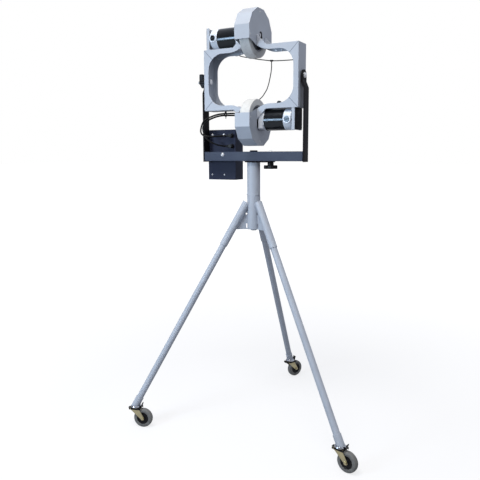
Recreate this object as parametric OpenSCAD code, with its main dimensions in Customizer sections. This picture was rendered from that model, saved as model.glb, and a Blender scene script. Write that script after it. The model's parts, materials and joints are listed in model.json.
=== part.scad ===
// Volleyball setting machine on a rolling tripod.
// A tilting frame holds two powered wheels, one above the other, that squeeze a ball and
// throw it. The frame hangs in a black yoke that turns on the mast of a three-legged stand.
// Origin: the floor point under the mast axis. +X runs along the frame to the right,
// +Y points away from the throwing side, +Z is up. Millimetres.

/* [Frame] */
// Width of the frame across its side webs
frame_w = 492; // [470:1:520]
// Height of the frame across its top and bottom webs
frame_h = 286; // [270:1:300]
// Depth of the folded channel that the frame is welded from
frame_d = 89; // [80:1:100]
// Thickness of the frame's sheet steel
sheet = 3; // [2:0.5:4]
// Width of the front and rear flanges beside the window
side_flange = 25; // [20:1:32]
// Height of the front and rear flanges above and below the window
cross_flange = 23; // [18:1:28]
// Corner radius of the window
window_r = 75; // [50:1:90]
// Half width over which the flanges sweep out towards the wheels
sweep_half = 110; // [95:1:125]
// Length of a gusset's foot along the frame
gusset_foot = 47; // [35:1:60]
// Height of a gusset above the frame
gusset_h = 50; // [40:1:60]
// Height of the tilt pivots above the floor
pivot_z = 1702; // [1690:1:1760]

/* [Throwing wheels] */
// Diameter of a throwing wheel
wheel_d = 203; // [190:1:206]
// Width of a throwing wheel
wheel_w = 50; // [40:1:54]
// Gap between the two wheels, a little less than the ball
ball_gap = 185; // [178:1:195]
// Diameter of the wheel's hub, inside its tyre
hub_d = 142; // [130:1:170]

/* [Shrouds] */
// Distance from the axle to a shroud's flat facets
shroud_reach = 118; // [112:1:121]
// Width of a shroud across its side plates
shroud_w = 76.8; // [72:0.1:84]
// Thickness of a shroud's sheet
shroud_t = 2; // [1.5:0.5:3]
// Half width of the slot in a shroud's side plate
slot_half = 16; // [14:1:20]

/* [Motors] */
// Diameter of a motor
motor_d = 97; // [90:1:100]
// Length of a motor from its mounting plate to its far end
motor_len = 168; // [160:1:172]
// Length of the drive-end bell
drive_bell = 30; // [24:1:36]
// Width of the squared part of the drive-end bell
bell_w = 81; // [76:0.5:81]
// Height of the squared part of the drive-end bell
bell_h = 86; // [80:1:92]
// Length of the rear bell
rear_bell = 40; // [34:1:46]
// Thickness of the motor's mounting plate
plate_t = 6; // [4:1:8]
// Diameter of the motor shaft
shaft_d = 12; // [10:1:16]
// Clearance around a motor where it passes the frame or its guard
motor_gap = 0.8; // [0.5:0.1:2]
// Width of a motor guard's side flanges
guard_flange = 15.5; // [12:0.5:18]
// Distance from the frame's outer corner to the guard's outer face
guard_inset = 16.5; // [14:0.5:20]

/* [Yoke] */
// Thickness of the yoke arms
arm_t = 8; // [6:1:10]
// Depth of the yoke arms and of the crossbar
arm_d = 50; // [44:1:54]
// Gap between the frame's side and the top of an arm
arm_gap = 4; // [3:0.5:6]
// How far each arm steps out below the pivot
arm_jog = 12; // [8:1:16]
// Height of the crossbar's underside
bar_z = 1317.5; // [1310:0.5:1330]
// Height of the crossbar
bar_h = 45.5; // [40:0.5:48]
// Wall of the crossbar
bar_wall = 3; // [2:0.5:4]
// Diameter of the tilt pivot bolts and of the mast's pivot bolt
pivot_d = 16; // [12:1:18]
// Reach of the tilt knob's long wing
wing_long = 39; // [34:1:44]
// Reach of the tilt knob's short wing
wing_short = 28; // [22:1:32]
// Diameter of the pan knob
pan_knob_d = 70; // [60:1:74]
// Radius of the arc slot that the pan clamp bolt slides in
pan_slot_r = 90; // [86:1:96]
// Half angle of the arc slot
pan_slot_half = 35; // [25:1:40]

/* [Control box] */
// Width of the control box
box_w = 156; // [140:1:160]
// Height of the control box
box_h = 247; // [220:1:260]
// Depth of the control box
box_d = 79; // [70:1:90]
// Wall of the control box
box_wall = 2; // [1.5:0.5:3]
// Diameter of a speed dial
dial_d = 36; // [30:1:40]

/* [Tripod] */
// Outer diameter of the mast
mast_d = 63.5; // [60:0.5:76]
// Wall of the mast
mast_wall = 3; // [2.5:0.5:4]
// Height of the mast's lower end
mast_foot_z = 988; // [980:1:1000]
// Height where a leg's axis leaves the mast's socket
socket_z = 1119.6; // [1110:0.1:1130]
// Distance from the mast axis to a leg's axis at that height
socket_r = 34.2; // [34:0.1:38]
// Length of a leg socket
socket_len = 238; // [220:1:260]
// Outer diameter of a leg
leg_d = 31.75; // [28:0.25:34]
// Lean of a leg from the vertical
leg_lean = 29.25; // [27:0.25:31]
// Turn of the tripod under the yoke
tripod_turn = 5.24; // [0:0.01:10]

/* [Casters] */
// Diameter of a caster wheel
caster_d = 95; // [86:1:98]
// Width of a caster wheel
caster_w = 27; // [22:1:30]
// Distance that a caster wheel trails behind its swivel
caster_trail = 38; // [34:1:42]
// Diameter of a caster's ball race
race_d = 52; // [50:1:56]

/* [Hidden] */
$fn = 48;
eps = 0.01;
run = 0.05;
seat = 0.3;
silver = [0.66, 0.69, 0.75];
black = [0.1, 0.1, 0.12];
zinc = [0.78, 0.78, 0.76];

axle = (ball_gap + wheel_d) / 2;
half_w = frame_w / 2;
half_h = frame_h / 2;
half_d = frame_d / 2;
half_s = shroud_w / 2;
sweep_r = (pow(sweep_half - half_s, 2) + pow(cross_flange, 2)) / (2 * cross_flange);
shroud_r = shroud_reach / cos(15);
web_end = half_s - shroud_t - 0.4;
motor_r = motor_d / 2;
motor_x = half_s + plate_t;
motor_end = half_s + motor_len + plate_t;
guard_x = max(half_w - guard_inset, motor_end + sheet + motor_gap);
can_x0 = motor_x + drive_bell;
can_x1 = motor_end - rear_bell;
bell_rim = 6;
shaft_r = shaft_d / 2;
shaft_tip = web_end;

arm_top_in = half_w + arm_gap;
arm_low_in = arm_top_in + arm_jog;
arm_low_out = arm_low_in + arm_t;
arm_foot_z = bar_z - 3.5;
jog_top_z = pivot_z - 29;
jog_low_z = jog_top_z - 29;
bar_top = bar_z + bar_h;
half_arm = arm_d / 2;
pivot_r = pivot_d / 2;

mast_r = mast_d / 2;
sector_t = 5;
sector_z = bar_z - seat - sector_t;
pan_bolt_r = 5;

box_x = -arm_low_out + 1;
box_z = bar_z - 93.5;
box_back = half_arm + box_d;
box_right = box_x + box_w;

leg_r = leg_d / 2;
socket_wall = 3;
socket_bore = leg_r + 0.12;
leg_start = 36;
race_top = 112;
race_gap_z = 103;
stem_r = socket_r + (socket_z - race_top) * tan(leg_lean);
leg_run = (socket_z - race_top) / cos(leg_lean);
leg_angle = [210 + tripod_turn, 330 + tripod_turn, 90 + tripod_turn];
trail_angle = [16, -14, 63];
caster_r = caster_d / 2;
fork_z = caster_d + 1;
lever_x = -22;
strap_in = caster_w / 2 + 5.5;

bar_bolt = [box_x + 111, 31];
box_screws = [[box_x + 26, box_z + 222], [box_x + 91, box_z + 222]];
box_rivets = [[box_x + 21, box_z + 25], [box_x + 92, box_z + 25]];
gland_r = 7;
gland_x = motor_x + 13.6;
gland_y = motor_r + 5.5;
brush_x = motor_end - rear_bell / 2;
brush_boss_r = rear_bell / 2 - 0.5;

// Routes of the wires, as points chosen along the photographed cords.
wire_d = 4.5;
lead_d = 8;
wire_main = [[-112, 52, 1825], [-106, 52, 1825], [-94, 52, 1819], [-70, 52, 1813],
             [-38, 52, 1806], [-12, 52, 1800], [14, 52, 1795], [42, 52, 1790], [69, 52, 1786],
             [94, 52, 1784], [118, 52, 1783], [175, 52, 1782], [214, 52, 1785], [223, 52, 1785]];
wire_branch = [[69, 52, 1783], [69, 52, 1754], [67, 52, 1738], [64, 52, 1721], [56, 52, 1687],
               [50, 52, 1669], [43, 52, 1653], [25, 52, 1628], [12, 52, 1616], [-4, 52, 1606],
               [-20, 52, 1601], [-36, 52, 1595], [-48, 52, 1587], [-55, 52, 1579],
               [-55, 52, 1573]];
lead_rear = [[-58, 54, 1896], [-58, 62, 1896], [-60, 66, 1884], [-66, 64, 1864], [-76, 57, 1850],
             [-94, 52, 1843], [-124, 50, 1841], [-190, 51, 1834], [-218, 52, 1818], [-230, 51, 1790],
             [-232, 50, 1640], [-228, 50, 1600], [-214, 50, 1578], [-188, 50, 1567], [-150, 50, 1564],
             [-118, 50, 1564]];
lead_low = [[58, 54, 1508], [58, 66, 1508], [59, 84, 1509], [58, 104, 1512], [52, 122, 1517],
            [40, 136, 1523], [22, 144, 1529], [-4, 146, 1534], [-32, 142, 1537], [-60, 128, 1539],
            [-86, 104, 1540], [-106, 76, 1540], [-120, 48, 1539.5], [-132, 26, 1539],
            [-146, 11, 1538.7], [-166, 5, 1538.7], [-186, -11, 1535], [-208, -25, 1527],
            [-230, -36, 1516], [-248, -43, 1500], [-256, -46, 1476], [-250, -46, 1450],
            [-236, -43, 1427], [-214, -33, 1408], [-192, -12, 1396], [-166, 11, 1390],
            [-152, 11, 1390]];
lead_high = [[-118, 50, 1564], [-112, 50, 1564], [-102, 49, 1557], [-98.5, 42, 1549.5],
             [-99, 32, 1547], [-106, 21, 1547], [-122, 11.5, 1547.3], [-144, 7, 1547.3],
             [-166, 5.5, 1547.3], [-188, -10, 1543.8], [-213, -25, 1535.2], [-237, -37, 1523],
             [-256, -45, 1505], [-265, -49, 1478], [-262, -56, 1458], [-248, -60, 1444],
             [-228, -54, 1438], [-206, -36, 1437], [-184, -8, 1439], [-166, 10, 1441],
             [-152, 11, 1441]];
plug_x = box_right - 19;
plug_z = [box_z + 166, box_z + 217];
plug_y = half_arm - 14;
tie_x = 90 - half_w;
tie_z = pivot_z - half_h - 16;
clip_depth = 11.5;
clip_y = half_d + 5.5;
clips = [[128 - half_w, pivot_z + half_h - 18], [half_w - 17, pivot_z + 83],
         [-55, pivot_z - half_h + 9]];
lead_clip = [120 - half_w, pivot_z - half_h + 5];
edge_clip = [half_w - 135.5, pivot_z - half_h + cross_flange + 7.5];

// A block between two opposite corners.
module block(low, high) {
    translate(low) cube(high - low);
}

// A round bar along X between two ends.
module rod_x(x0, x1, r, y = 0, z = 0) {
    translate([min(x0, x1), y, z]) rotate([0, 90, 0]) cylinder(r = r, h = abs(x1 - x0));
}

// A round bar along Y between two ends.
module rod_y(y0, y1, r, x = 0, z = 0) {
    translate([x, max(y0, y1), z]) rotate([90, 0, 0]) cylinder(r = r, h = abs(y1 - y0));
}

// An outline drawn in X and Z, given a thickness from y0 to y1.
module slab_y(y0, y1) {
    translate([0, y1, 0]) rotate([90, 0, 0]) linear_extrude(y1 - y0) children();
}

// An outline drawn in Y and Z, given a thickness from x0 to x1.
module slab_x(x0, x1) {
    translate([x0, 0, 0]) rotate([90, 0, 90]) linear_extrude(x1 - x0) children();
}

// The upper half as drawn, and the lower half as the same thing turned half round.
module upper_side() {
    translate([0, 0, pivot_z]) children();
}
module lower_side() {
    translate([0, 0, pivot_z]) rotate([0, 180, 0]) children();
}

module rounded_rect(w, h, r) {
    square([w, h - 2 * r], center = true);
    square([w - 2 * r, h], center = true);
    for (sx = [-1, 1], sz = [-1, 1]) translate([sx * (w / 2 - r), sz * (h / 2 - r)]) circle(r);
}

// A tube along points: rings of equal sides, square to the route, joined by triangles.
function unit(v) = v / norm(v);
function along(p, i) = unit(p[min(i + 1, len(p) - 1)] - p[max(i - 1, 0)]);
function level(t) = unit(cross(t, abs(t[2]) > 0.9 ? [0, 1, 0] : [0, 0, 1]));
function carried(p, i) = i == 0 ? level(along(p, 0))
    : let (v = carried(p, i - 1), t = along(p, i)) unit(v - t * (v * t));
module tube_along(p, d, sides) {
    n = len(p);
    ring = [for (i = [0 : n - 1])
            let (t = along(p, i), u = carried(p, i), v = cross(t, u))
            for (k = [0 : sides - 1])
            p[i] + d / 2 * (cos(360 * k / sides) * u + sin(360 * k / sides) * v)];
    wall = [for (i = [0 : n - 2], k = [0 : sides - 1])
            let (a = i * sides + k, b = i * sides + (k + 1) % sides)
            each [[a, a + sides, b], [b, a + sides, b + sides]]];
    first = [for (k = [1 : sides - 2]) [0, k, k + 1]];
    last = [for (k = [1 : sides - 2]) (n - 1) * sides * [1, 1, 1] + [0, k + 1, k]];
    polyhedron(points = ring, faces = concat(wall, first, last));
}

// Hexagon bolt head or nut, standing on z = 0.
module hex_head(across, h) {
    cylinder(d = across / cos(30), h = h, $fn = 6);
}

// Domed screw head, standing on z = 0.
module dome_head(d, h) {
    rotate_extrude() intersection() {
        translate([0, h - (d * d / 4 + h * h) / (2 * h)]) circle((d * d / 4 + h * h) / (2 * h));
        square([d / 2, h]);
    }
}

// The tripod stand.

module mast() color(silver) {
    difference() {
        translate([0, 0, mast_foot_z]) cylinder(r = mast_r, h = sector_z - mast_foot_z);
        translate([0, 0, mast_foot_z + 4]) cylinder(r = mast_r - mast_wall, h = sector_z - 16 - mast_foot_z);
        translate([0, 0, mast_foot_z - 1]) cylinder(r = 12, h = 6);
        translate([0, 0, sector_z - 13]) cylinder(r = pivot_r + run, h = 14);
    }
}

module mast_plug() color(black) {
    translate([0, 0, mast_foot_z - 6]) cylinder(r = 14, h = 6);
    translate([0, 0, mast_foot_z - eps]) cylinder(r = 12 - run, h = 10);
}

// A wedge about +X, wider than the plate is long.
function sector_wedge(half) = let (reach = 2 * pan_slot_r)
    [[0, 0], [reach, -reach * tan(half)], [reach, reach * tan(half)]];

module sector_outline() {
    rim = 14;
    slot = pan_bolt_r + 0.5;
    difference() {
        union() {
            circle(mast_r + rim - 2);
            intersection() {
                circle(pan_slot_r + rim);
                polygon(sector_wedge(pan_slot_half + 10));
            }
        }
        circle(pivot_r + run);
        intersection() {
            difference() {
                circle(pan_slot_r + slot);
                circle(pan_slot_r - slot);
            }
            polygon(sector_wedge(pan_slot_half));
        }
        for (s = [-1, 1]) rotate(s * pan_slot_half) translate([pan_slot_r, 0]) circle(slot);
    }
}

module sector_plate() color(black) {
    translate([0, 0, sector_z]) rotate(tripod_turn) linear_extrude(sector_t) sector_outline();
}

module pan_pivot_bolt() color(zinc) {
    translate([0, 0, sector_z - 12 - 10]) hex_head(24, 10);
    translate([0, 0, sector_z - 12 - eps]) cylinder(r = pivot_r, h = bar_z + 34 - sector_z + 12);
    translate([0, 0, bar_z + 27.5 + seat]) hex_head(24, 11);
}

// From here along a leg: children drawn up +Z run down the leg's axis.
module on_leg(k) {
    rotate(leg_angle[k]) translate([socket_r, 0, socket_z]) rotate([0, 180 - leg_lean, 0]) children();
}

module leg_socket(k) color(silver) {
    gusset_t = 5;
    plate_r = socket_r + (socket_z - mast_foot_z) * tan(leg_lean);
    difference() {
        union() {
            on_leg(k) cylinder(r = leg_r + socket_wall, h = socket_len);
            rotate(leg_angle[k]) slab_y(-gusset_t / 2, gusset_t / 2)
                polygon([[mast_r - 2, socket_z - 30], [socket_r, socket_z - 14], [plate_r, mast_foot_z],
                         [mast_r - 2, mast_foot_z]]);
        }
        on_leg(k) translate([0, 0, leg_start - 4]) cylinder(r = socket_bore, h = socket_len);
        translate([0, 0, mast_foot_z - 1]) cylinder(r = mast_r, h = socket_z - mast_foot_z + 60);
        rotate(leg_angle[k]) rod_y(-gusset_t, gusset_t, 4.5, mast_r + 4, socket_z - 56);
        rotate(leg_angle[k])
            block([mast_r - 1, -gusset_t, mast_foot_z + 7], [mast_r + 6, gusset_t, mast_foot_z + 28]);
    }
}

module leg_tube(k) color(silver) {
    sleeve = 45;
    difference() {
        union() {
            on_leg(k) translate([0, 0, leg_start]) cylinder(r = leg_r, h = leg_run - leg_start + 15);
            on_leg(k) translate([0, 0, leg_run - sleeve]) cylinder(r = leg_r + socket_wall, h = sleeve + 15);
        }
        on_leg(k) translate([0, 0, leg_start - 1]) cylinder(r = leg_r - 2, h = leg_run - leg_start - sleeve);
        rotate(leg_angle[k]) translate([stem_r - 80, -80, race_top - 100]) cube([160, 160, 100]);
    }
}

// A caster drawn at the origin, trailing along +X, then set under its leg.
module at_stem(k) {
    rotate(leg_angle[k]) translate([stem_r, 0, 0]) rotate(trail_angle[k] - leg_angle[k]) children();
}

module caster_race(k) color(zinc) {
    at_stem(k) {
        translate([0, 0, race_gap_z]) rotate_extrude()
            polygon([[0, 0], [race_d / 2 - 1, 0], [race_d / 2, 1], [race_d / 2, 3], [race_d / 2 - 2, 6],
                     [leg_r + 6, race_top - race_gap_z], [0, race_top - race_gap_z]]);
        translate([0, 0, fork_z - 1]) cylinder(r = 5, h = race_gap_z - fork_z + 2);
        translate([0, 0, fork_z - seat - 3.1]) rivet_end();
    }
}

// The riveted end of the swivel pin.
module rivet_end() {
    rotate_extrude() polygon([[0, 0], [5.5, 0], [7.5, 2], [7.5, 3.1], [0, 3.1]]);
}

module caster_fork(k) color(zinc) {
    cheek = 2.5;
    plate_z = 5;
    inner = caster_w / 2 + 1.5;
    outer = inner + cheek;
    at_stem(k) {
        difference() {
            union() {
                translate([0, 0, fork_z]) cylinder(r = strap_in - 0.7, h = race_gap_z - seat - fork_z);
                translate([0, 0, fork_z + plate_z])
                    cylinder(r = race_d / 2 - 2, h = race_gap_z - seat - fork_z - plate_z);
                for (y = [-outer, inner]) slab_y(y, y + cheek) union() {
                    polygon([[-26, fork_z + 4], [-26, fork_z - 4], [-19, fork_z - 8],
                             [caster_trail - 9, caster_r - 3], [caster_trail + 9, caster_r + 3],
                             [22, fork_z - 2], [19, fork_z + 4]]);
                    translate([caster_trail, caster_r]) circle(9);
                }
            }
            translate([0, 0, fork_z - 10]) cylinder(r = 5 + run, h = 30);
            rod_y(-40, 40, 4 + run, caster_trail, caster_r);
        }
        rod_y(-outer - 3, outer + 3, 4, caster_trail, caster_r);
        for (s = [-1, 1]) {
            rod_y(s * (inner + 1), s * (outer + 4.5), 2.5, lever_x, fork_z);
            translate([caster_trail, s * (outer + seat), caster_r]) rotate([-s * 90, 0, 0]) hex_head(12, 5);
        }
    }
}

module caster_wheel(k) color([0.35, 0.35, 0.34]) {
    half = caster_w / 2;
    at_stem(k) translate([caster_trail, 0, caster_r]) rotate([90, 0, 0]) rotate_extrude()
        polygon([[4 + run, -half], [13, -half], [14, -9], [caster_r - 14, -9], [caster_r - 12, -half],
                 [caster_r - 5, -half], [caster_r - 1, 5 - half], [caster_r, -4], [caster_r, 4],
                 [caster_r - 1, half - 5], [caster_r - 5, half], [caster_r - 12, half],
                 [caster_r - 14, 9], [14, 9], [13, half], [4 + run, half]]);
}

module brake_lever(k) color(black) {
    strap = 2;
    at_stem(k) {
        difference() {
            union() {
                for (y = [-strap_in - strap, strap_in])
                    block([-30, y, fork_z - 4], [30, y + strap, fork_z + 4]);
                block([-30, -strap_in - strap, fork_z - 4], [-28, strap_in + strap, fork_z + 4]);
                block([-38, -8, fork_z - 1], [-29, 8, fork_z + 2]);
                block([28, -strap_in - strap, fork_z + 3], [30, strap_in + strap, fork_z + 7]);
                slab_y(-10, 10) polygon([[28, fork_z + 4], [30, fork_z + 3], [38, fork_z + 28],
                                         [35, fork_z + 29]]);
            }
            rod_y(-strap_in - strap - 1, strap_in + strap + 1, 2.5 + run, lever_x, fork_z);
        }
    }
}

// The yoke, its controls and its wiring.

module crossbar() color(black) {
    difference() {
        block([-arm_low_in, -half_arm, bar_z], [arm_low_in, half_arm, bar_top]);
        block([-arm_low_in - 1, -half_arm + bar_wall, bar_z + bar_wall],
              [arm_low_in + 1, half_arm - bar_wall, bar_top - bar_wall]);
        translate([0, 0, bar_top - bar_wall - 1]) cylinder(r = 15, h = bar_wall + 2);
        translate([0, 0, bar_z - 1]) cylinder(r = pivot_r + run, h = bar_wall + 2);
        translate([pan_slot_r, 0, bar_z - 1]) cylinder(r = pan_bolt_r + run, h = bar_h + 2);
        rod_y(-half_arm - 1, half_arm + 1, 5 + run, bar_bolt[0], bar_z + bar_bolt[1]);
    }
    difference() {
        translate([0, 0, bar_z + bar_wall - eps]) cylinder(r = pivot_r + 5, h = 27.5 - bar_wall);
        translate([0, 0, bar_z]) cylinder(r = pivot_r + run, h = 40);
    }
}

module crossbar_cap() color([0.05, 0.05, 0.05]) {
    translate([0, 0, bar_top]) rotate_extrude()
        polygon([[0, 0], [19, 0], [19, 4], [17, 6], [0, 6]]);
    translate([0, 0, bar_top - bar_wall - 2]) difference() {
        cylinder(r = 15 - run, h = bar_wall + 2 + eps);
        translate([0, 0, -1]) cylinder(r = 13, h = bar_wall + 2);
    }
}

// An arm as seen from the front, then given its depth and its round top.
module yoke_arm() {
    difference() {
        intersection() {
            slab_y(-half_arm, half_arm) polygon([
                [arm_top_in, pivot_z + half_arm], [arm_top_in, jog_top_z], [arm_low_in, jog_low_z],
                [arm_low_in, arm_foot_z], [arm_low_out, arm_foot_z], [arm_low_out, jog_low_z + 3],
                [arm_top_in + arm_t, jog_top_z + 3], [arm_top_in + arm_t, pivot_z + half_arm]]);
            slab_x(arm_top_in - 1, arm_low_out + 1) union() {
                translate([0, pivot_z]) circle(half_arm);
                translate([-half_arm, arm_foot_z]) square([arm_d, pivot_z - arm_foot_z]);
            }
        }
        rod_x(arm_top_in - 1, arm_low_out + 1, pivot_r + run, 0, pivot_z);
    }
}

module yoke_arm_right() color(black) yoke_arm();
module yoke_arm_left() color(black) mirror([1, 0, 0]) yoke_arm();

module yoke_bolts() color(zinc) {
    translate([bar_bolt[0], 0, bar_z + bar_bolt[1]]) {
        translate([0, -half_arm, 0]) rotate([90, 0, 0]) dome_head(20, 8);
        rod_y(-half_arm - eps, half_arm + box_wall + eps, 5);
        translate([0, half_arm + box_wall, 0]) rotate([-90, 0, 0]) hex_head(16, 7);
    }
    translate([pan_slot_r, 0, bar_top]) dome_head(18, 5);
    translate([pan_slot_r, 0, sector_z - 27]) cylinder(r = pan_bolt_r, h = bar_top - sector_z + 27 + eps);
    for (at = box_screws) translate([at[0], half_arm, at[1]]) rotate([90, 0, 0]) dome_head(15, 6);
    for (at = box_rivets) translate([at[0], half_arm, at[1]]) rotate([90, 0, 0]) dome_head(9, 3);
}

module tilt_pivot_bolt() color(zinc) {
    for (s = [-1, 1]) mirror([s < 0 ? 1 : 0, 0, 0]) translate([0, 0, pivot_z]) {
        rod_x(half_w - sheet - 11, arm_top_in + arm_t, pivot_r);
        translate([half_w - sheet - seat, 0, 0]) rotate([0, -90, 0]) hex_head(24, 10);
        difference() {
            rod_x(half_w + seat, arm_top_in - seat, pivot_r + 8);
            rod_x(half_w, arm_top_in, pivot_r + run);
        }
    }
    translate([arm_top_in + arm_t, 0, pivot_z]) rotate([0, 90, 0]) dome_head(26, 9);
    rod_x(-arm_top_in - arm_t + 1, -arm_top_in - arm_t - 49, 5, 0, pivot_z);
}

// A wing knob drawn from the front and given its depth: a long wing up, a short one down.
module tilt_knob() color(black) {
    foot = -arm_top_in - arm_t - seat;
    grip = 38;
    wing_t = 18;
    difference() {
        union() {
            rod_x(foot - grip, foot, 12, 0, pivot_z);
            slab_y(-wing_t / 2, wing_t / 2) translate([foot, pivot_z])
                polygon([[-8, 9], [-grip + 20, 14], [-grip + 20, wing_long - 3], [-grip + 17, wing_long],
                         [3 - grip, wing_long], [-grip, wing_long - 3], [-grip, -6],
                         [-grip + 13, -wing_short], [-grip + 24, -wing_short], [-8, -9]]);
        }
        rod_x(foot - grip - 1, foot + 1, 5 + run, 0, pivot_z);
    }
}

// A lobed clamping knob: its disc, its boss and its bore, standing on z = 0.
module lobed_knob(d, disc, boss_h, bore_r) {
    lobe_r = d * 0.14;
    difference() {
        union() {
            linear_extrude(disc) union() {
                circle(d / 2 - lobe_r);
                for (a = [0 : 60 : 300]) rotate(a) translate([d / 2 - lobe_r, 0]) circle(lobe_r);
            }
            translate([0, 0, disc - eps]) cylinder(r = d * 0.21, h = boss_h + eps);
        }
        translate([0, 0, -1]) cylinder(r = bore_r, h = disc + boss_h + 2);
    }
}

module pan_knob() color(black) {
    translate([pan_slot_r, 0, sector_z - 31]) lobed_knob(pan_knob_d, 17, 31 - 17 - seat, pan_bolt_r + run);
}

module control_box() color([0.16, 0.17, 0.22]) {
    difference() {
        block([box_x, half_arm, box_z], [box_right, box_back - box_wall, box_z + box_h]);
        block([box_x + box_wall, half_arm + box_wall, box_z + box_wall],
              [box_right - box_wall, box_back, box_z + box_h - box_wall]);
        rod_y(0, half_arm + box_wall + 1, 5 + run, bar_bolt[0], bar_z + bar_bolt[1]);
        for (z = plug_z) rod_y(half_arm - 1, half_arm + box_wall + 1, 6 + run, plug_x, z);
    }
}

dial_x = [box_x + 43, box_x + 113];
dial_z = box_z + 190;
switch_x = box_x + box_w / 2;
switch_z = box_z + 118;
inlet_z = box_z + 58;

module box_cover() color([0.13, 0.13, 0.15]) {
    difference() {
        block([box_x, box_back - box_wall, box_z], [box_right, box_back, box_z + box_h]);
        for (x = dial_x) rod_y(box_back - 5, box_back + 1, 3 + run, x, dial_z);
        block([switch_x - 11, box_back - 5, switch_z - 16], [switch_x + 11, box_back + 1, switch_z + 16]);
        block([switch_x - 14, box_back - 5, inlet_z - 11], [switch_x + 14, box_back + 1, inlet_z + 11]);
    }
    difference() {
        block([switch_x - 14, box_back - eps, switch_z - 19], [switch_x + 14, box_back + 2, switch_z + 19]);
        block([switch_x - 11, box_back - 5, switch_z - 16], [switch_x + 11, box_back + 4, switch_z + 16]);
    }
    for (sx = [-1, 1], sz = [0, 1])
        translate([box_x + box_w / 2 + sx * (box_w / 2 - 8), box_back - eps, box_z + 8 + sz * (box_h - 16)])
        rotate([-90, 0, 0]) dome_head(7, 2.5);
}

module speed_dial(x) color([0.08, 0.08, 0.08]) {
    rod_y(box_back - 8, box_back + 3, 3, x, dial_z);
    translate([x, box_back + seat, dial_z]) rotate([-90, 0, 0]) rotate_extrude()
        polygon([[0, 0], [dial_d / 2, 0], [dial_d / 2, 3], [dial_d / 2 - 4, 5], [dial_d / 2 - 5, 15],
                 [dial_d / 2 - 6.5, 16], [0, 16]]);
    block([x - 1, box_back + 3, dial_z + 2], [x + 1, box_back + 17.3, dial_z + dial_d / 2 - 6]);
}

module power_switch() color([0.75, 0.1, 0.08]) {
    translate([switch_x, box_back, switch_z]) rotate([7, 0, 0])
        slab_x(-10.4, 10.4) polygon([[-9, -9], [-9, 9], [2, 14.4], [5, 14], [3.2, 0], [5, -14], [2, -14.4]]);
    rod_x(switch_x - 11 + run, switch_x + 11 - run, 1.5, box_back, switch_z);
}

module power_inlet() color([0.06, 0.06, 0.06]) {
    difference() {
        union() {
            block([switch_x - 17, box_back, inlet_z - 14], [switch_x + 17, box_back + 2.5, inlet_z + 14]);
            block([switch_x - 14 + run, box_back - 22, inlet_z - 11 + run],
                  [switch_x + 14 - run, box_back + eps, inlet_z + 11 - run]);
        }
        block([switch_x - 12, box_back - 18, inlet_z - 9], [switch_x + 12, box_back + 4, inlet_z + 9]);
    }
    for (i = [-1, 0, 1]) block([switch_x + 7 * i - 1, box_back - 20, inlet_z - 3 + (i == 0 ? 3 : 0)],
                               [switch_x + 7 * i + 1, box_back - 3, inlet_z + 1 + (i == 0 ? 3 : 0)]);
}

module lead_connectors() color([0.06, 0.06, 0.06]) {
    for (z = plug_z) {
        rod_y(half_arm - 8 - eps, half_arm + box_wall + 4, 6, plug_x, z);
        rod_y(half_arm - 6, half_arm, 11, plug_x, z);
        rod_y(0, half_arm - 6 + eps, 9, plug_x, z);
        rod_x(plug_x - 20, plug_x, 6.5, plug_y, z);
    }
}

module motor_leads() color([0.05, 0.05, 0.05]) {
    tube_along(lead_low, lead_d, 8);
    tube_along(lead_high, lead_d, 8);
}

// The head: frame, shrouds, motors and wheels.

module flange_outline() {
    difference() {
        square([frame_w, frame_h], center = true);
        rounded_rect(frame_w - 2 * side_flange, frame_h - 2 * cross_flange, window_r);
        for (sz = [-1, 1]) difference() {
            translate([-sweep_half, sz > 0 ? half_h - cross_flange - 1 : -half_h - 1])
                square([2 * sweep_half, cross_flange + 2]);
            for (sx = [-1, 1])
                translate([sx * sweep_half, sz * (half_h - cross_flange - 0.5 + sweep_r)])
                    circle(sweep_r, $fn = 96);
        }
    }
}

module web_outline() {
    difference() {
        square([frame_w, frame_h], center = true);
        square([frame_w - 2 * sheet, frame_h - 2 * sheet], center = true);
        square([2 * web_end, frame_h + 2], center = true);
    }
}

// One welded member of the frame, cut from the whole ring at its mitred corners.
module frame_member(wedge) {
    for (s = [-1, 1]) slab_y(min(s * half_d, s * (half_d - sheet)), max(s * half_d, s * (half_d - sheet)))
        intersection() {
            flange_outline();
            polygon(wedge);
        }
    slab_y(-half_d + sheet, half_d - sheet) intersection() {
        web_outline();
        polygon(wedge);
    }
}

// Triangular gussets welded to both flanges beside the wheel.
module gusset(sx) {
    for (s = [-1, 1])
        slab_y(min(s * half_d, s * (half_d - sheet)), max(s * half_d, s * (half_d - sheet)))
            polygon([[sx * half_s, half_h - sheet], [sx * (half_s + gusset_foot), half_h - sheet],
                     [sx * (half_s + gusset_foot), half_h], [sx * half_s, half_h + gusset_h]]);
}

// The squared part of a motor's drive-end bell, grown by a clearance.
module bell_block(grow) {
    slab_x(-can_x0 + bell_rim - eps - grow, -motor_x) translate([0, axle])
        rounded_rect(bell_w + 2 * grow, bell_h + 2 * grow, 8);
}

// The room a motor needs, cut from what it passes.
module motor_room() {
    rod_x(-motor_end - motor_gap, -can_x0 + bell_rim + motor_gap, motor_r + motor_gap, 0, axle);
    bell_block(motor_gap);
}

side_wedge = [[half_w, half_h], [half_w - half_h, 0], [half_w, -half_h]];
cross_wedge = [[-half_w, half_h], [half_w, half_h], [half_w - half_h, 0], [half_h - half_w, 0]];
guard_bolts = [[-guard_x + 9, -28], [-guard_x + 9, 28]];
flange_bolts = [[-83.3, half_h - 15], [97.5, half_h - 16], [127, half_h - 15],
                [24.6 - half_w, half_h - 28]];

module frame_side() {
    difference() {
        frame_member(side_wedge);
        rod_x(half_w - sheet - 1, half_w + 1, pivot_r + run);
    }
}

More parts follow.
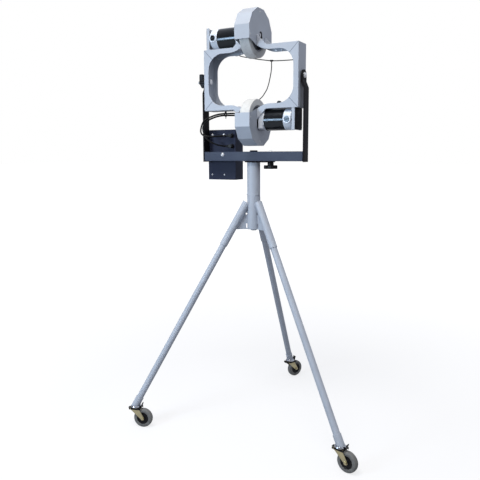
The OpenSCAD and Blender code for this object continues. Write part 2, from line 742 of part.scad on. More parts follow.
module frame_cross() {
    difference() {
        union() {
            frame_member(cross_wedge);
            gusset(-1);
            gusset(1);
        }
        for (at = guard_bolts) translate([at[0], at[1], half_h - sheet - 1]) cylinder(r = 4, h = sheet + 2);
        motor_room();
    }
}

module flange_holes() {
    upper_side() for (at = flange_bolts) rod_y(half_d - sheet - 1, half_d + 1, 3 + run, at[0], at[1]);
}

module frame_right() color(silver) upper_side() frame_side();
module frame_left() color(silver) difference() {
    lower_side() frame_side();
    flange_holes();
}
module frame_top() color(silver) difference() {
    upper_side() frame_cross();
    flange_holes();
}
module frame_bottom() color(silver) lower_side() frame_cross();

// A side plate's outline in Y and Z about the axle: ten sides of twelve, then the cut foot.
module shroud_side() {
    difference() {
        polygon(concat([for (a = [-15 : 30 : 195]) shroud_r * [cos(a), sin(a)]],
                       [[-92, -36], [-half_d - 5, half_h - axle], [half_d + 5, half_h - axle], [92, -36]]));
        circle(slot_half);
        translate([-slot_half, half_h - axle - 1]) square([2 * slot_half, axle - half_h + 1]);
    }
}

module shroud() {
    translate([0, 0, axle]) {
        for (x = [-half_s, half_s - shroud_t]) slab_x(x, x + shroud_t) shroud_side();
        slab_x(-half_s + shroud_t, half_s - shroud_t) difference() {
            polygon([for (a = [-15 : 30 : 195]) shroud_r * [cos(a), sin(a)]]);
            polygon([for (a = [-15 : 30 : 345]) (shroud_r - shroud_t / cos(15)) * [cos(a), sin(a)]]);
        }
        for (sx = [-1, 1], at = [[-106, -12], [108, -24], [-9, 100]])
            translate([sx * half_s, at[0], at[1]]) rotate([0, sx * 90, 0]) dome_head(7, 2.5);
    }
}

module shroud_top() color(silver) upper_side() shroud();
module shroud_bottom() color(silver) lower_side() shroud();

module motor_plate() {
    reach = half_d - sheet - 0.4;
    difference() {
        slab_x(-motor_x, -half_s)
            polygon([[-reach, half_h], [reach, half_h], [reach, axle + 30], [reach - 14, axle + 44],
                     [14 - reach, axle + 44], [-reach, axle + 30]]);
        rod_x(-motor_x - 1, -half_s + 1, shaft_r + 3, 0, axle);
    }
}

module motor_plates() color(black) {
    upper_side() motor_plate();
    lower_side() motor_plate();
}

// A bent channel beyond the motor's far end, standing on the frame.
module motor_guard() {
    z0 = half_h;
    z1 = axle + motor_r;
    difference() {
        block([-guard_x, -half_d, z0], [-guard_x + guard_flange, half_d, z1]);
        block([-guard_x + sheet, -half_d + sheet, z0 + sheet],
              [-guard_x + guard_flange + 1, half_d - sheet, z1 + 1]);
        for (at = guard_bolts) translate([at[0], at[1], z0 - 1]) cylinder(r = 4, h = sheet + 2);
        motor_room();
    }
}

module motor_guards() color(silver) {
    upper_side() motor_guard();
    lower_side() motor_guard();
}

module motor_can() {
    difference() {
        rod_x(-can_x1, -can_x0, motor_r, 0, axle);
        rod_x(-can_x1 - 1, -can_x0 + 1, motor_r - 6, 0, axle);
    }
}

module motor_can_top() color([0.03, 0.03, 0.03]) upper_side() motor_can();
module motor_can_bottom() color([0.03, 0.03, 0.03]) lower_side() motor_can();

// Both end bells of a motor, turned about the shaft, with the brush bosses on the rear one.
module motor_bells() {
    difference() {
        union() {
            bell_block(0);
            rod_x(-can_x0, -can_x0 + bell_rim, motor_r, 0, axle);
            translate([-can_x1, 0, axle]) rotate([0, -90, 0]) rotate_extrude() union() {
                square([motor_r, rear_bell - 8]);
                square([motor_r - 8, rear_bell]);
                translate([motor_r - 8, rear_bell - 8]) circle(8);
            }
            rod_y(-motor_r - 2, motor_r + 2, brush_boss_r, -brush_x, axle);
            rod_y(bell_w / 2 - 2, gland_y, gland_r, -gland_x, axle);
        }
        rod_x(-can_x0 - 1, -motor_x - 14, bell_w / 2 - 4.5, 0, axle);
        rod_x(-can_x1 - rear_bell + 12, -can_x1 + 1, motor_r - 8, 0, axle);
        rod_x(-motor_end - 1, -half_s, shaft_r + run, 0, axle);
        rod_y(-motor_r - 3, motor_r + 3, 11, -brush_x, axle);
    }
}

module motor_bells_top() color([0.8, 0.8, 0.8]) upper_side() motor_bells();
module motor_bells_bottom() color([0.8, 0.8, 0.8]) lower_side() motor_bells();

// Screw caps that hold the carbon brushes, front and back of each motor.
module brush_pair() {
    for (s = [-1, 1]) translate([-brush_x, 0, axle]) rotate([-s * 90, 0, 0]) difference() {
        union() {
            translate([0, 0, motor_r - 10]) cylinder(r = 11 - run, h = 12 + eps);
            translate([0, 0, motor_r + 2]) cylinder(r = 13, h = 2);
        }
        translate([-14, -1, motor_r + 3]) cube([28, 2, 2]);
    }
}

module brush_caps() color([0.08, 0.08, 0.1]) {
    upper_side() brush_pair();
    lower_side() brush_pair();
}

module guard_bolt_pair() {
    grip = 2 * sheet;
    for (at = guard_bolts) translate([at[0], at[1], half_h - sheet]) {
        translate([0, 0, -8]) cylinder(r = 3.5, h = grip + 8 + eps);
        translate([0, 0, -6]) hex_head(13, 6);
        translate([0, 0, grip]) dome_head(11, 4);
    }
}

module frame_bolts() color(zinc) {
    upper_side() guard_bolt_pair();
    lower_side() guard_bolt_pair();
    upper_side() for (at = flange_bolts) translate([at[0], half_d - sheet, at[1]]) {
        rotate([90, 0, 0]) hex_head(8.4, 4);
        rod_y(-eps, sheet + eps, 3);
        translate([0, sheet, 0]) rotate([-90, 0, 0]) dome_head(8, 1.5);
    }
}

module cable_ties() color([0.06, 0.06, 0.06]) {
    frame_low = pivot_z - half_h;
    hole = lead_d / 2 + 0.2;
    difference() {
        union() {
            rod_x(tie_x - 2.5, tie_x + 2.5, lead_d + 3.5, 6.5, tie_z);
            block([tie_x - 2.5, 1, tie_z + 8], [tie_x + 2.5, 11, frame_low]);
            block([tie_x - 1, 5, tie_z - 20], [tie_x + 1, 9, tie_z - 9.5]);
        }
        rod_x(tie_x - 4, tie_x + 4, lead_d + 1.7, 6.5, tie_z);
    }
    for (c = clips) block([c[0] - 6, half_d, c[1] - 5], [c[0] + 6, half_d + clip_depth, c[1] + 5]);
    difference() {
        block([lead_clip[0] - 5, half_d, lead_clip[1] - 5],
              [lead_clip[0] + 5, half_d + clip_depth, lead_clip[1] + 5]);
        rod_x(lead_clip[0] - 6, lead_clip[0] + 6, hole, clip_y, lead_clip[1]);
    }
    block([edge_clip[0] - 6, half_d, edge_clip[1] - 20],
          [edge_clip[0] + 6, half_d + clip_depth, edge_clip[1]]);
    rod_y(half_d, half_d + clip_depth, 10.5, edge_clip[0], edge_clip[1]);
}

module frame_wires() color([0.05, 0.05, 0.05]) {
    tube_along(wire_main, wire_d, 8);
    tube_along(wire_branch, wire_d, 8);
    tube_along(lead_rear, lead_d, 8);
    translate(wire_branch[0] + [0, 0, 3]) sphere(4.5, $fn = 16);
}

// Shaft with its wound armature, and the nut that holds the wheel.
module motor_shaft() {
    rod_x(-motor_end + 8, shaft_tip, shaft_r, 0, axle);
    difference() {
        rod_x(-can_x1 + 8, -can_x0 - 8, motor_r - 8, 0, axle);
        rod_x(-can_x1, -can_x0, shaft_r - 1, 0, axle);
    }
    translate([wheel_w / 2 + 3.2, 0, axle]) rotate([0, 90, 0]) hex_head(19, 6);
}

module motor_shaft_top() color(zinc) upper_side() motor_shaft();
module motor_shaft_bottom() color(zinc) lower_side() motor_shaft();

module wheel_hub() {
    rim = hub_d / 2;
    translate([0, 0, axle]) rotate([0, 90, 0]) rotate_extrude($fn = 96)
        polygon([[shaft_r + 0.02, -wheel_w / 2 - 3], [20, -wheel_w / 2 - 3], [22, -6], [rim - 9, -6],
                 [rim - 7, -wheel_w / 2 + 3], [rim, -wheel_w / 2 + 3], [rim, wheel_w / 2 - 3],
                 [rim - 7, wheel_w / 2 - 3], [rim - 9, 6], [22, 6], [20, wheel_w / 2 + 3],
                 [shaft_r + 0.02, wheel_w / 2 + 3]]);
}

module wheel_hub_top() color([0.3, 0.3, 0.3]) upper_side() wheel_hub();
module wheel_hub_bottom() color([0.3, 0.3, 0.3]) lower_side() wheel_hub();

module wheel_tyre() {
    edge = 5;
    rim = hub_d / 2;
    translate([0, 0, axle]) rotate([0, 90, 0]) rotate_extrude($fn = 96) union() {
        translate([rim + 0.02, -wheel_w / 2]) square([wheel_d / 2 - edge - rim, wheel_w]);
        translate([rim + 0.02, -wheel_w / 2 + edge]) square([wheel_d / 2 - rim - 0.02, wheel_w - 2 * edge]);
        for (s = [-1, 1]) translate([wheel_d / 2 - edge, s * (wheel_w / 2 - edge)]) circle(edge);
    }
}

module wheel_tyre_top() color([0.85, 0.82, 0.74]) upper_side() wheel_tyre();
module wheel_tyre_bottom() color([0.85, 0.82, 0.74]) lower_side() wheel_tyre();

mast();
mast_plug();
sector_plate();
pan_pivot_bolt();
leg_socket(0);  // leg_socket_left
leg_socket(1);  // leg_socket_right
leg_socket(2);  // leg_socket_rear
leg_tube(0);  // leg_tube_left
leg_tube(1);  // leg_tube_right
leg_tube(2);  // leg_tube_rear
caster_race(0);  // caster_race_left
caster_race(1);  // caster_race_right
caster_race(2);  // caster_race_rear
caster_fork(0);  // caster_fork_left
caster_fork(1);  // caster_fork_right
caster_fork(2);  // caster_fork_rear
caster_wheel(0);  // caster_wheel_left
caster_wheel(1);  // caster_wheel_right
caster_wheel(2);  // caster_wheel_rear
brake_lever(0);  // brake_lever_left
brake_lever(1);  // brake_lever_right
brake_lever(2);  // brake_lever_rear
crossbar();
crossbar_cap();
yoke_arm_left();
yoke_arm_right();
yoke_bolts();
tilt_pivot_bolt();
tilt_knob();
pan_knob();
control_box();
box_cover();
speed_dial(dial_x[1]);  // speed_dial_top
speed_dial(dial_x[0]);  // speed_dial_bottom
power_switch();
power_inlet();
lead_connectors();
motor_leads();
frame_left();
frame_right();
frame_top();
frame_bottom();
shroud_top();
shroud_bottom();
motor_plates();
motor_guards();
motor_can_top();
motor_can_bottom();
motor_bells_top();
motor_bells_bottom();
brush_caps();
frame_bolts();
cable_ties();
frame_wires();
motor_shaft_top();
motor_shaft_bottom();
wheel_hub_top();
wheel_hub_bottom();
wheel_tyre_top();
wheel_tyre_bottom();
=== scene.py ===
# Volleyball setting machine: finishes, wires and small fittings on the fixed construction.
import json
import math

import bmesh
import bpy
import numpy as np
from mathutils import Matrix, Vector

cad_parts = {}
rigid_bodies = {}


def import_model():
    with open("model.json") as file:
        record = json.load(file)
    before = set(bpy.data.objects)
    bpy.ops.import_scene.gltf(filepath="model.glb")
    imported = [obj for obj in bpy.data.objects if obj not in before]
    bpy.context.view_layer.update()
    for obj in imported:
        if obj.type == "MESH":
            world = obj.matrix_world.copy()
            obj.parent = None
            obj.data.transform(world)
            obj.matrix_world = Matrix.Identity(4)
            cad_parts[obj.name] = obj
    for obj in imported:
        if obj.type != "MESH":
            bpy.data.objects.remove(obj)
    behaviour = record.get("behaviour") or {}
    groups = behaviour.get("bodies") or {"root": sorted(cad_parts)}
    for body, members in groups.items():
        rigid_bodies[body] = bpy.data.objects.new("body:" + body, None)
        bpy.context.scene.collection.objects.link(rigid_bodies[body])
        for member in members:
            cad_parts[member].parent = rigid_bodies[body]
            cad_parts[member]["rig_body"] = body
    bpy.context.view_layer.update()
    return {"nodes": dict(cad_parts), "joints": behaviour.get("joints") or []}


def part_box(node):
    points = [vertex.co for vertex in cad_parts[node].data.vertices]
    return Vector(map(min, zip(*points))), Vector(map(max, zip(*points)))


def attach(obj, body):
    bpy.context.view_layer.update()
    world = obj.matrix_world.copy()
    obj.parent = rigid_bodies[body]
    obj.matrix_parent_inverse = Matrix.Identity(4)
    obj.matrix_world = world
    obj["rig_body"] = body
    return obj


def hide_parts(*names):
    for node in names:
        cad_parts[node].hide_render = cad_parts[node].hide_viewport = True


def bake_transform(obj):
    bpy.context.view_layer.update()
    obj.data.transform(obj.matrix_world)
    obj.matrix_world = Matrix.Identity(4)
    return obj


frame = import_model()
axes = {joint["name"]: joint for joint in frame["joints"]}


# The camera stands to the right of the machine at chest height and looks slightly down.
yaw = 0.493
pitch = -0.153
roll = -0.005
ahead = Vector((-math.sin(yaw) * math.cos(pitch), math.cos(yaw) * math.cos(pitch), math.sin(pitch)))
level = Vector((math.cos(yaw), math.sin(yaw), 0))
upward = level.cross(ahead)
aside = level * math.cos(roll) + upward * math.sin(roll)
upright = upward * math.cos(roll) - level * math.sin(roll)
lens = bpy.data.cameras.new("camera")
lens.lens = 42.42
lens.clip_end = 120
camera_place = (1.2432, -2.4574, 1.3575)
camera = bpy.data.objects.new("camera", lens)
bpy.context.scene.collection.objects.link(camera)
camera.matrix_world = Matrix.Translation(camera_place) @ Matrix(
    (aside, upright, -ahead)).transposed().to_4x4()
bpy.context.scene.camera = camera
bpy.context.scene.view_settings.view_transform = "Standard"


# The room is a white studio: pale floor, white surroundings, and a soft warm lamp hung high in
# front. A small cool one at the left, level with the lower wheel, gives the black parts their
# thin bluish gleam, and a weak one opens up the right.
def srgb(red, green, blue):
    """Linear colour of a screen colour: each share goes through the screen's power curve."""
    shares = [c / 255 for c in (red, green, blue)]
    return tuple(((c + 0.055) / 1.055) ** 2.4 if c > 0.04 else c / 12.92 for c in shares) + (1.0,)


def put(tree, kind, inputs=(), **settings):
    """Adds a shader node; each input is set to a value, or joined to a socket."""
    made = tree.nodes.new("ShaderNode" + kind)
    for name, value in settings.items():
        setattr(made, name, value)
    for name, value in dict(inputs).items():
        if isinstance(value, bpy.types.NodeSocket):
            tree.links.new(value, made.inputs[name])
        else:
            made.inputs[name].default_value = value
    return made


def times(tree, a, b):
    """The product of two sockets or numbers."""
    return put(tree, "Math", {0: a, 1: b}, operation="MULTIPLY").outputs[0]


def blended(tree, share, a, b):
    """A colour between a and b."""
    return put(tree, "Mix", {0: share, 6: a, 7: b}, data_type="RGBA").outputs[2]


def sum_of(tree, *terms):
    """Adds sockets or numbers one after another."""
    total = terms[0]
    for term in terms[1:]:
        total = put(tree, "Math", {0: total, 1: term}, operation="ADD").outputs[0]
    return total


world = bpy.data.worlds.new("studio")
bpy.context.scene.world = world
world.use_nodes = True
sky = world.node_tree
sky.nodes.clear()
rays = put(sky, "LightPath").outputs
seen = put(sky, "Math", {0: rays["Is Camera Ray"], 1: rays["Is Transmission Ray"]},
           operation="MAXIMUM").outputs[0]
toward = put(sky, "SeparateXYZ", {0: put(sky, "TexCoord").outputs["Generated"]}).outputs
mirror_least = 0.08
mirror_overhead = 0.4
mirror_behind = 0.45
plain_light = 0.48
height = put(sky, "MapRange", {"Value": toward["Z"], "From Min": -0.1, "From Max": 0.9,
                               "To Min": 0.0, "To Max": mirror_overhead}).outputs[0]
backdrop = put(sky, "MapRange", {"Value": toward["Y"], "From Min": -0.5, "From Max": 0.6,
                                 "To Min": 0.0, "To Max": mirror_behind}).outputs[0]
mirrored = sum_of(sky, mirror_least, height, backdrop)
mirror_share = put(sky, "Mix", {0: rays["Is Glossy Ray"], 2: plain_light, 3: mirrored}).outputs[0]
strength = put(sky, "Mix", {0: seen, 2: mirror_share, 3: 1.0}).outputs[0]
tint = blended(sky, seen, (0.92, 0.97, 1.10, 1), (1, 1, 1, 1))
glow = put(sky, "Background", {"Color": tint, "Strength": strength})
sky.links.new(glow.outputs[0], put(sky, "OutputWorld").inputs["Surface"])


def lamp(name, place, target, width, depth, watts, tint):
    """A rectangular soft lamp at place, turned so that it shines at target."""
    light = bpy.data.lights.new(name, "AREA")
    light.shape = "RECTANGLE"
    light.size = width
    light.size_y = depth
    light.energy = watts
    light.color = tint
    made = bpy.data.objects.new(name, light)
    made.location = place
    made.rotation_euler = (Vector(target) - Vector(place)).to_track_quat("-Z", "Y").to_euler()
    bpy.context.scene.collection.objects.link(made)


lamp("high_lamp", (-0.1, -1.9, 4.6), (0, 0, 1.6), 1.8, 1.8, 108, (1.0, 0.96, 0.89))
lamp("front_lamp", (-1.35, -2.7, 1.55), (0, 0, 1.5), 0.8, 0.8, 42, (0.62, 0.80, 1.0))
lamp("right_lamp", (3.4, -0.6, 2.2), (0, 0, 1.3), 1.6, 1.6, 5, (0.85, 0.93, 1.0))


def surface(name, points, around=False, along=False, ends=False):
    """A mesh from a grid of points, rows by columns: each cell is a quad whose corners are
    neighbours in the grid. around joins the last column to the first, along the last row to
    the first, and ends closes the first and last rows with a flat face."""
    rows, columns = points.shape[:2]
    index = np.arange(rows * columns).reshape(rows, columns)
    down = np.roll(index, -1, 0) if along else index[1:]
    here = index if along else index[:-1]
    if not around:
        right_here = here[:, 1:]
        right_down = down[:, 1:]
        here = here[:, :-1]
        down = down[:, :-1]
    else:
        right_here = np.roll(here, -1, 1)
        right_down = np.roll(down, -1, 1)
    cells = np.stack([here, right_here, right_down, down], -1).reshape(-1, 4).tolist()
    if ends:
        cells += [index[0][::-1].tolist(), index[-1].tolist()]
    mesh = bpy.data.meshes.new(name)
    mesh.from_pydata(points.reshape(-1, 3).tolist(), [], cells)
    mesh.validate()
    return mesh


def outward(mesh):
    """Turns every face of a closed mesh to point out of it."""
    work = bmesh.new()
    work.from_mesh(mesh)
    bmesh.ops.remove_doubles(work, verts=work.verts, dist=1e-7)
    bmesh.ops.recalc_face_normals(work, faces=work.faces)
    work.to_mesh(mesh)
    work.free()
    return mesh


def piece(name, mesh, material, body, replaced=(), sharp=40):
    """Puts a mesh in the scene as a piece of the machine, smooth but for edges over sharp degrees."""
    mesh.materials.clear()
    mesh.materials.append(material)
    mesh.shade_smooth()
    mesh.set_sharp_from_angle(angle=math.radians(sharp))
    made = bpy.data.objects.new(name, mesh)
    bpy.context.scene.collection.objects.link(made)
    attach(made, body)
    if replaced:
        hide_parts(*replaced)
    return made


floor_size = 60.0
corner = np.linspace(-floor_size, floor_size, 2)
floor_points = np.stack(np.meshgrid(corner, corner) + [np.zeros((2, 2))], -1)
floor = bpy.data.objects.new("floor", surface("floor", floor_points))
bpy.context.scene.collection.objects.link(floor)
floor_paint = bpy.data.materials.new("floor_paint")
floor_paint.use_nodes = True
under = floor_paint.node_tree
under.nodes.clear()
under_rays = put(under, "LightPath").outputs
from_middle = put(under, "VectorMath", {0: put(under, "TexCoord").outputs["Object"]}, operation="LENGTH")
near_lift = 0.74
mirrored_lift = 0.4
faded = put(under, "MapRange", {"Value": from_middle.outputs["Value"], "From Min": 1.0, "From Max": 5.0,
                                "To Min": near_lift, "To Max": 1.0}).outputs[0]
shown = put(under, "Math", {0: times(under, under_rays["Is Glossy Ray"], mirrored_lift),
                            1: under_rays["Is Camera Ray"]}, operation="MAXIMUM").outputs[0]
lift = times(under, shown, faded)
matt = put(under, "BsdfDiffuse", {"Color": (0.26, 0.26, 0.27, 1)}).outputs[0]
lifted = put(under, "Emission", {"Color": (1, 1, 1, 1), "Strength": lift}).outputs[0]
under.links.new(put(under, "AddShader", {0: matt, 1: lifted}).outputs[0],
                put(under, "OutputMaterial").inputs["Surface"])
floor.data.materials.append(floor_paint)


# The stand is welded from round tube and powder-coated light grey. The mast's foot carries
# three splayed sockets with small gussets, and a plain tube slides in each socket.
def effect(name, takes, gives):
    """An empty shader group with these named sockets: its tree, its inputs and its output node."""
    tree = bpy.data.node_groups.new(name, "ShaderNodeTree")
    for socket, kind in takes.items():
        tree.interface.new_socket(socket, in_out="INPUT", socket_type="NodeSocket" + kind)
    for socket, kind in gives.items():
        tree.interface.new_socket(socket, in_out="OUTPUT", socket_type="NodeSocket" + kind)
    return tree, tree.nodes.new("NodeGroupInput").outputs, tree.nodes.new("NodeGroupOutput")


def noise(tree, place, scale, detail=3.0, rough=0.55):
    """Cloudy noise from 0 to 1, with scale cells to the metre."""
    return put(tree, "TexNoise", {"Vector": place, "Scale": scale, "Detail": detail,
                                  "Roughness": rough}).outputs[0]


def spread(tree, value, low, high, start=0.0, end=1.0):
    """Carries value from the span low to high onto the span start to end, and clamps it."""
    return put(tree, "MapRange", {"Value": value, "From Min": low, "From Max": high,
                                  "To Min": start, "To Max": end}).outputs[0]


def bumped(tree, height, distance):
    """A normal leaning with height, whose full range stands distance metres high."""
    return put(tree, "Bump", {"Height": height, "Distance": distance, "Strength": 1.0}).outputs[0]


coat, takes, gives = effect(
    "powder_coat",
    {"Colour": "Color", "Worn": "Color", "Wear": "Float", "Gloss": "Float", "Peel": "Float"},
    {"Colour": "Color", "Roughness": "Float", "Normal": "Vector"})
place = put(coat, "TexCoord").outputs["Object"]
clouds = noise(coat, place, 7)
specks = noise(coat, place, 420, 2)
peel = noise(coat, place, 900, 2)
rounded = put(coat, "Bevel", {"Radius": 0.0016}, samples=4).outputs[0]
facing = put(coat, "VectorMath", {0: rounded, 1: put(coat, "NewGeometry").outputs["Normal"]},
             operation="DOT_PRODUCT").outputs["Value"]
rim = spread(coat, facing, 0.995, 0.90)
patches = spread(coat, noise(coat, place, 60, 5, 0.7), 0.42, 0.62)
rubbed = times(coat, times(coat, rim, patches), takes["Wear"])
deep = put(coat, "HueSaturation", {"Color": takes["Colour"],
                                   "Value": spread(coat, clouds, 0.3, 0.7, 0.93, 1.05)})
fine = put(coat, "HueSaturation", {"Color": deep.outputs[0],
                                   "Value": spread(coat, specks, 0.3, 0.7, 0.96, 1.03)})
coat.links.new(blended(coat, rubbed, fine.outputs[0], takes["Worn"]), gives.inputs["Colour"])
coat.links.new(sum_of(coat, takes["Gloss"], spread(coat, clouds, 0.3, 0.7, -0.05, 0.06),
                      times(coat, rubbed, 0.1)), gives.inputs["Roughness"])
coat.links.new(bumped(coat, peel, times(coat, takes["Peel"], 0.0001)), gives.inputs["Normal"])


def finish(name, group, values, **shader):
    """A material: the named effect feeds a Principled shader, whose plain values are given."""
    made = bpy.data.materials.new(name)
    made.use_nodes = True
    tree = made.node_tree
    tree.nodes.clear()
    used = put(tree, "Group", node_tree=group)
    for socket, value in values.items():
        if isinstance(value, bpy.types.NodeSocket):
            tree.links.new(value, used.inputs[socket])
        else:
            used.inputs[socket].default_value = value
    body = put(tree, "BsdfPrincipled", {key.replace("_", " "): value for key, value in shader.items()})
    for socket, target in (("Colour", "Base Color"), ("Roughness", "Roughness"), ("Normal", "Normal")):
        tree.links.new(used.outputs[socket], body.inputs[target])
    tree.links.new(body.outputs[0], put(tree, "OutputMaterial").inputs["Surface"])
    return made


silver = finish("silver_powder_coat", coat,
                {"Colour": srgb(180, 186, 196), "Worn": srgb(140, 146, 156), "Wear": 0.55,
                 "Gloss": 0.42, "Peel": 0.6}, Specular_IOR_Level=0.4)


def eased(part, material, edge=0.0008, steps=2):
    """A welded copy of a construction part with its sharp edges rounded off.

    Flat faces keep their planes. Each edge that turns more than 28 degrees gives way to an
    arc of steps facets, edge metres wide on either side."""
    mesh = frame["nodes"][part].data.copy()
    mesh.name = part + "_finished"
    if "custom_normal" in mesh.attributes:
        mesh.attributes.remove(mesh.attributes["custom_normal"])
    work = bmesh.new()
    work.from_mesh(mesh)
    bmesh.ops.remove_doubles(work, verts=work.verts, dist=2e-6)
    bmesh.ops.dissolve_limit(work, angle_limit=math.radians(0.2), verts=work.verts, edges=work.edges)
    turning = [e for e in work.edges
               if len(e.link_faces) == 2 and e.calc_face_angle(0) > math.radians(28)]
    bmesh.ops.bevel(work, geom=turning, offset=edge, offset_type="OFFSET", segments=steps, profile=0.5,
                    affect="EDGES", clamp_overlap=False)
    work.to_mesh(mesh)
    work.free()
    made = piece(part + "_finished", mesh, material, frame["nodes"][part]["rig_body"], [part], 50)
    made.modifiers.new("flat_faces_stay_flat", "WEIGHTED_NORMAL").keep_sharp = True
    return made


legs = ("left", "right", "rear")
for part in ["mast"] + ["leg_socket_" + k for k in legs] + ["leg_tube_" + k for k in legs]:
    eased(part, silver, 0.0006)


def sweep(route, radius, sides, closed=False):
    """A tube along a route: at each point a ring of sides points stands square to the route,
    and each ring is the last one carried on without twist. radius may change from point to
    point."""
    ahead_of = (np.roll(route, -1, 0) - np.roll(route, 1, 0)) if closed else np.gradient(route, axis=0)
    heading = ahead_of / np.linalg.norm(ahead_of, axis=1, keepdims=True)
    start = np.cross(heading[0], [0, 0, 1] if abs(heading[0][2]) < 0.9 else [0, 1, 0])
    across = [start / np.linalg.norm(start)]
    for direction in heading[1:]:
        carried = across[-1] - direction * (across[-1] @ direction)
        across.append(carried / np.linalg.norm(carried))
    across = np.array(across)
    beside = np.cross(heading, across)
    turn = np.linspace(0, 2 * np.pi, sides, endpoint=False)
    rings = across[:, None] * np.cos(turn)[:, None] + beside[:, None] * np.sin(turn)[:, None]
    return route[:, None] + rings * np.broadcast_to(radius, len(route))[:, None, None]


# Weld beads run round the top of each socket where it meets the mast. They are laid by
# hand, so they ripple a little, and the same grey paint covers them.
mast_radius = 0.03175
socket_radius = 0.0190
socket_lean = math.radians(29.25)
socket_reach = 0.0342
socket_height = 1.1196
bead_lowest = -0.034
bead_radius = 0.0017
bead_ripples = 34
for k in legs:
    slide = Vector(axes["leg_slide_" + k]["axis"])
    heading = math.atan2(slide.y, slide.x)
    turn = np.linspace(0, 2 * np.pi, 140, endpoint=False)
    out = np.array([math.cos(heading), math.sin(heading), 0])
    sideways = np.array([-math.sin(heading), math.cos(heading), 0])
    up = np.array([0, 0, 1])
    tilt = np.array([math.cos(socket_lean), 0, math.sin(socket_lean)])
    # A ring point lies cos(turn) along the tilted cross-section and sin(turn) sideways; it
    # slides along the leg until its distance from the mast's axis is the mast's radius.
    flat_out = socket_reach + socket_radius * np.cos(turn) * tilt[0]
    flat_side = socket_radius * np.sin(turn)
    reach = np.sqrt(np.maximum(mast_radius ** 2 - flat_side ** 2, 0))
    along_leg = (reach - flat_out) / math.sin(socket_lean)
    along_leg = np.maximum(along_leg, bead_lowest)
    bead = (out * (flat_out + along_leg * math.sin(socket_lean))[:, None] + sideways * flat_side[:, None]
            + up * (socket_height + socket_radius * np.cos(turn) * tilt[2]
                    - along_leg * math.cos(socket_lean))[:, None])
    ripple = bead_radius * (1 + 0.16 * np.sin(turn * bead_ripples))
    mesh = outward(surface("weld_" + k, sweep(bead, ripple, 8, True), around=True, along=True))
    piece("weld_" + k, mesh, silver, "tripod")


# Each caster has a plated ball race, a zinc-yellow forked bracket stamped from sheet, and a
# hard grey tread moulded on a black hub. A black lever presses the tread to stop it.
metal, takes, gives = effect(
    "plated_metal", {"Colour": "Color", "Stain": "Color", "Gloss": "Float", "Grain": "Float"},
    {"Colour": "Color", "Roughness": "Float", "Normal": "Vector"})
place = put(metal, "TexCoord").outputs["Object"]
bloom = noise(metal, place, 45, 4, 0.6)
drawn = put(metal, "Mapping", {"Vector": place, "Scale": (1, 1, 14)}).outputs[0]
lines = noise(metal, drawn, 260, 2)
stained = spread(metal, bloom, 0.38, 0.75, 0.0, 0.6)
metal.links.new(blended(metal, stained, takes["Colour"], takes["Stain"]), gives.inputs["Colour"])
metal.links.new(sum_of(metal, takes["Gloss"], spread(metal, bloom, 0.3, 0.7, -0.06, 0.1),
                       spread(metal, lines, 0.3, 0.7, -0.03, 0.03)), gives.inputs["Roughness"])
metal.links.new(bumped(metal, lines, times(metal, takes["Grain"], 0.0001)), gives.inputs["Normal"])

chrome = finish("polished_race", metal, {"Colour": srgb(196, 198, 204), "Stain": srgb(150, 152, 160),
                                         "Gloss": 0.16, "Grain": 0.1}, Metallic=1.0)
# The plated zinc is pale and half diffuse: real plating with a painted glint, so that screws and rivets
# show bright.
glinting_zinc = finish("bright_zinc", metal, {"Colour": srgb(232, 233, 235), "Stain": srgb(190, 192, 198),
                                     "Gloss": 0.26, "Grain": 0.2}, Metallic=0.5)
yellow_zinc = finish("yellow_zinc", metal, {"Colour": srgb(206, 196, 158), "Stain": srgb(168, 158, 134),
                                            "Gloss": 0.3, "Grain": 0.3}, Metallic=1.0)

grip, takes, gives = effect(
    "worn_rubber",
    {"Place": "Vector", "Colour": "Color", "Scuff": "Color", "Marks": "Float", "Gloss": "Float"},
    {"Colour": "Color", "Roughness": "Float", "Normal": "Vector"})
parts_of = put(grip, "SeparateXYZ", {0: takes["Place"]}).outputs
angle = put(grip, "Math", {0: parts_of["Y"], 1: parts_of["Z"]}, operation="ARCTAN2").outputs[0]
wound = put(grip, "CombineXYZ", {0: times(grip, parts_of["X"], 160), 1: times(grip, angle, 2.2),
                                 2: 0.0}).outputs[0]
streaks = noise(grip, wound, 1.0, 4, 0.65)
blotches = noise(grip, takes["Place"], 60, 4, 0.6)
pores = noise(grip, takes["Place"], 700, 2)
either = put(grip, "Math", {0: spread(grip, streaks, 0.5, 0.75), 1: spread(grip, blotches, 0.5, 0.7)},
             operation="MAXIMUM")
marked = times(grip, either.outputs[0], takes["Marks"])
grip.links.new(blended(grip, marked, takes["Colour"], takes["Scuff"]), gives.inputs["Colour"])
grip.links.new(sum_of(grip, takes["Gloss"], times(grip, marked, 0.12)), gives.inputs["Roughness"])
rough_skin = sum_of(grip, pores, times(grip, streaks, 0.6))
grip.links.new(bumped(grip, rough_skin, 0.00012), gives.inputs["Normal"])


def rubber(name, centre, heading, colour, scuff, marks, gloss):
    """Worn rubber whose streaks run round an axle through centre, heading radians from +X."""
    made = finish(name, grip, {"Colour": colour, "Scuff": scuff, "Marks": marks, "Gloss": gloss})
    tree = made.node_tree
    group = next(n for n in tree.nodes if n.type == "GROUP")
    centred = put(tree, "Mapping", {"Vector": put(tree, "TexCoord").outputs["Object"],
                                    "Location": centre, "Rotation": (0, 0, heading)},
                  vector_type="TEXTURE")
    tree.links.new(centred.outputs[0], group.inputs["Place"])
    return made


